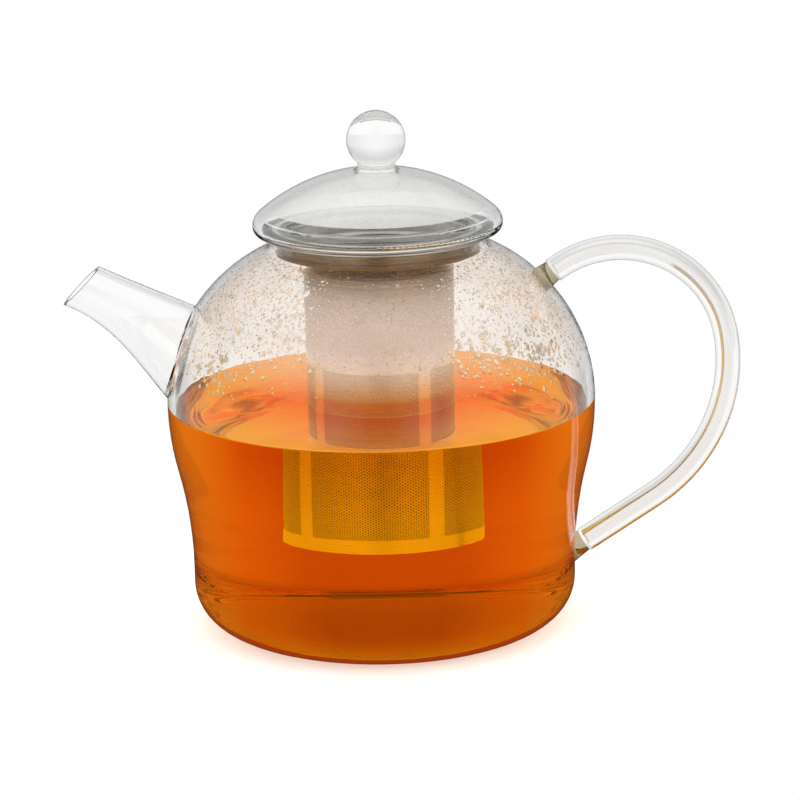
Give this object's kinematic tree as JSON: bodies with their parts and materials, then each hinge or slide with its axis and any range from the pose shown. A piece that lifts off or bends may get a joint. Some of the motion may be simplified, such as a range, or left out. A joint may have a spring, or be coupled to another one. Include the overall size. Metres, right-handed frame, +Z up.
{
  "type": "glass teapot",
  "caption": "Round glass teapot with a tapered spout and a loop handle welded on, a lift-out steel infuser basket with etched mesh, and a domed glass lid with a ball knob.",
  "frame": {"origin": "centre of the flat base, on the pot's axis", "axes": "+Z up the pot's axis, -X out of the spout, +X towards the handle"},
  "size_m": [0.2361, 0.15, 0.1816],
  "materials": {
    "clear_glass": "clear borosilicate glass, blown and fire-polished",
    "stainless_steel": "thin stainless sheet, pressed and etched"
  },
  "bodies": {
    "pot": {"pot_body": "clear_glass", "spout": "clear_glass", "handle": "clear_glass", "handle_upper_weld": "clear_glass", "handle_lower_weld": "clear_glass"},
    "infuser": {"infuser_collar": "stainless_steel", "infuser_sleeve": "stainless_steel", "infuser_base": "stainless_steel"},
    "lid": {"lid_dome": "clear_glass", "lid_skirt": "clear_glass", "lid_knob": "clear_glass"}
  },
  "joints": [
    {"name": "infuser_lift", "type": "slide", "parent": "pot", "child": "infuser", "axis": [0, 0, 1], "range_m": [0, 0.12]},
    {"name": "lid_lift", "type": "slide", "parent": "infuser", "child": "lid", "axis": [0, 0, 1], "range_m": [0, 0.06]}
  ]
}
